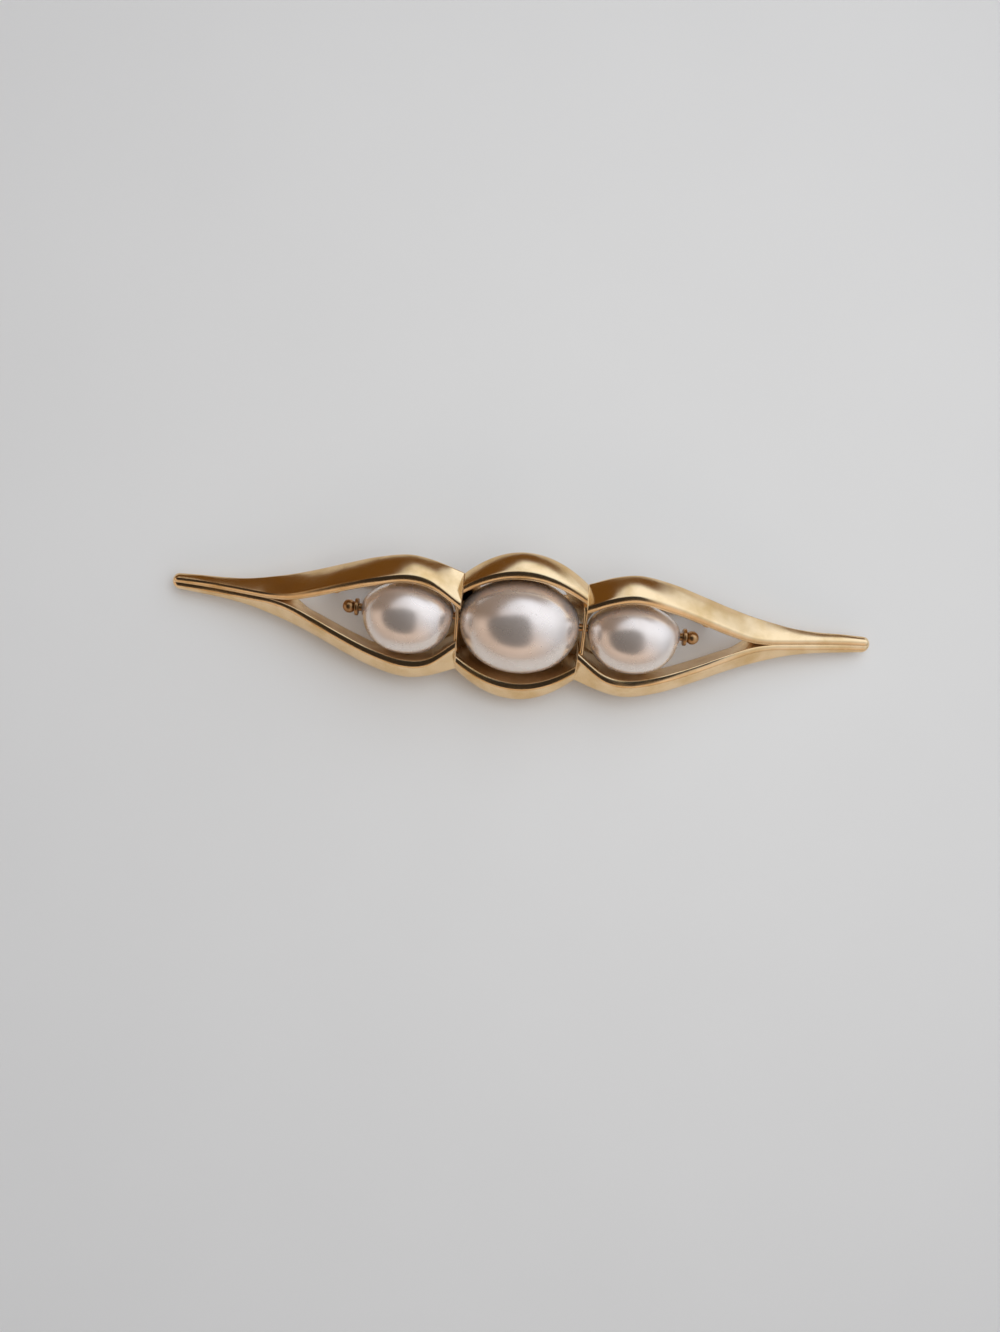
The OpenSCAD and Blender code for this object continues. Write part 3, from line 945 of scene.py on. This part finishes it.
# The room is square to the picture, so directions are turned by as much as the camera is.
square = add(tree, "ShaderNodeMapping", at, {"Rotation": (0, 0, -TURN)})
way = add(tree, "ShaderNodeSeparateXYZ", square)
# The walls are darker low down and brighter towards the top of the picture and the window.
low = add(tree, "ShaderNodeMapRange", way.outputs["Z"], 0.1, 0.5, 0.59, 0.9,
          interpolation_type="SMOOTHSTEP")
top = add(tree, "ShaderNodeMapRange", way.outputs["Y"], -0.2, 0.6, 0.0, 0.1,
          interpolation_type="SMOOTHSTEP")
power = add(tree, "ShaderNodeMath", low, top, operation="ADD")
toward = add(tree, "ShaderNodeVectorMath", square, (0.64, 0.62, 0.45), operation="DOT_PRODUCT")
glow = add(tree, "ShaderNodeMapRange", toward.outputs["Value"], 0.5, 0.95, 0.0, 0.42,
           interpolation_type="SMOOTHSTEP")
power = add(tree, "ShaderNodeMath", power, glow, operation="ADD")
# Daylight comes from the window's side, and warmer light off the walls on the other side.
across = add(tree, "ShaderNodeVectorMath", square, (0.7, 0.7, 0.0), operation="DOT_PRODUCT")
across = add(tree, "ShaderNodeMapRange", across.outputs["Value"], -0.6, 0.5, 0.0, 1.0,
             interpolation_type="SMOOTHSTEP")
tone = add(tree, "ShaderNodeMix", {0: across, 6: linear("#F0DAC8"), 7: linear("#E4EFFE")},
           data_type="RGBA")
room = add(tree, "ShaderNodeVectorMath", tone, {"Scale": power}, operation="SCALE")
print(len(tree.nodes), "nodes for bright walls")

# %% [markdown]
# ## Dark things in the room
# What makes metal look polished is dark against bright. Two dark things do that here: wood
# beyond the table, which gives the brown band along the upper rail, and the phone and hands
# overhead, which give the thin dark lines in the metal and the dark spot on each pearl. Each
# is a smooth edge on the sky. A dark plane in the air would work too, but it would show in
# other views and cast a shadow.

# %% Dark wood and the phone
# The wood is low ahead, and high on the left.
ahead_low = add(tree, "ShaderNodeMath", way.outputs["Z"], 0.37, operation="SUBTRACT")
left_high = add(tree, "ShaderNodeMath", way.outputs["X"], 0.7, way.outputs["Z"],
                operation="MULTIPLY_ADD")
left_high = add(tree, "ShaderNodeMath", left_high, 0.39, operation="SUBTRACT")
edge = add(tree, "ShaderNodeMath", ahead_low, left_high, operation="MINIMUM")
edge = add(tree, "ShaderNodeMapRange", edge, -0.08, 0.1, 1.0, 0.0,
           interpolation_type="SMOOTHSTEP")
right_end = add(tree, "ShaderNodeMapRange", way.outputs["X"], 0.5, 0.75, 1.0, 0.0,
                interpolation_type="SMOOTHSTEP")
edge = add(tree, "ShaderNodeMath", edge, right_end, operation="MULTIPLY")
ahead = add(tree, "ShaderNodeMapRange", way.outputs["Y"], 0.0, 0.4, 0.0, 1.0,
            interpolation_type="SMOOTHSTEP")
wood = add(tree, "ShaderNodeMath", edge, ahead, operation="MULTIPLY")
room = add(tree, "ShaderNodeMix", {0: wood, 6: room, 7: linear("#684A20")}, data_type="RGBA")
# The phone and the hands are overhead, a little left and below. For each direction, how far
# aside they are and how far they reach, in degrees from straight up.
PHONE = (("X", 17, 37), ("Y", 16, 41))
outside = []
for axis, aside, reach in PHONE:
    angle = add(tree, "ShaderNodeMath", way.outputs[axis], way.outputs["Z"],
                operation="ARCTAN2")
    angle = add(tree, "ShaderNodeMath", angle, math.radians(aside), operation="ADD")
    angle = add(tree, "ShaderNodeMath", angle, math.radians(reach), operation="DIVIDE")
    outside.append(add(tree, "ShaderNodeMath", angle, 4.0, operation="POWER"))
outside = add(tree, "ShaderNodeMath", *outside, operation="ADD")
clear = add(tree, "ShaderNodeMapRange", outside, 0.75, 1.3, 0.04, 1.0,
            interpolation_type="SMOOTHSTEP")
light = add(tree, "ShaderNodeBackground", room, clear)
tree.links.new(light.outputs[0], out.inputs["Surface"])
print(len(tree.nodes), "nodes in the room")

# %% [markdown]
# ## Lamps
# Daylight gives the brooch its soft shadow and the pearls their round shading. The sky alone
# lights everything from all sides and leaves hardly a shadow, so two soft area lamps help: a
# large one where the window is, and a small weak one overhead. Metal doesn't see them,
# because it already sees the window in the sky.

# %% The lamps


def soft_light(name, size, energy, colour, place):
    """An area light that faces the brooch. Metal sees the room itself, not the lamp."""
    lamp = bpy.data.objects.new(name, bpy.data.lights.new(name, "AREA"))
    bpy.context.collection.objects.link(lamp)
    lamp.data.shape = "RECTANGLE"
    lamp.data.size, lamp.data.size_y = size
    lamp.data.energy = energy
    lamp.data.color = linear(colour)[:3]
    lamp.location = Matrix.Rotation(TURN, 3, "Z") @ Vector(place)
    lamp.rotation_euler = lamp.location.to_track_quat("Z", "Y").to_euler()
    lamp.visible_glossy = False
    print(name, "at", [round(c, 2) for c in lamp.location])


soft_light("window", (0.75, 0.55), 0.60, "#F2F6FF", (0.32, 0.31, 0.225))
soft_light("ceiling", (0.12, 0.12), 0.042, "#FFFEFC", (0.018, 0.012, 0.105))
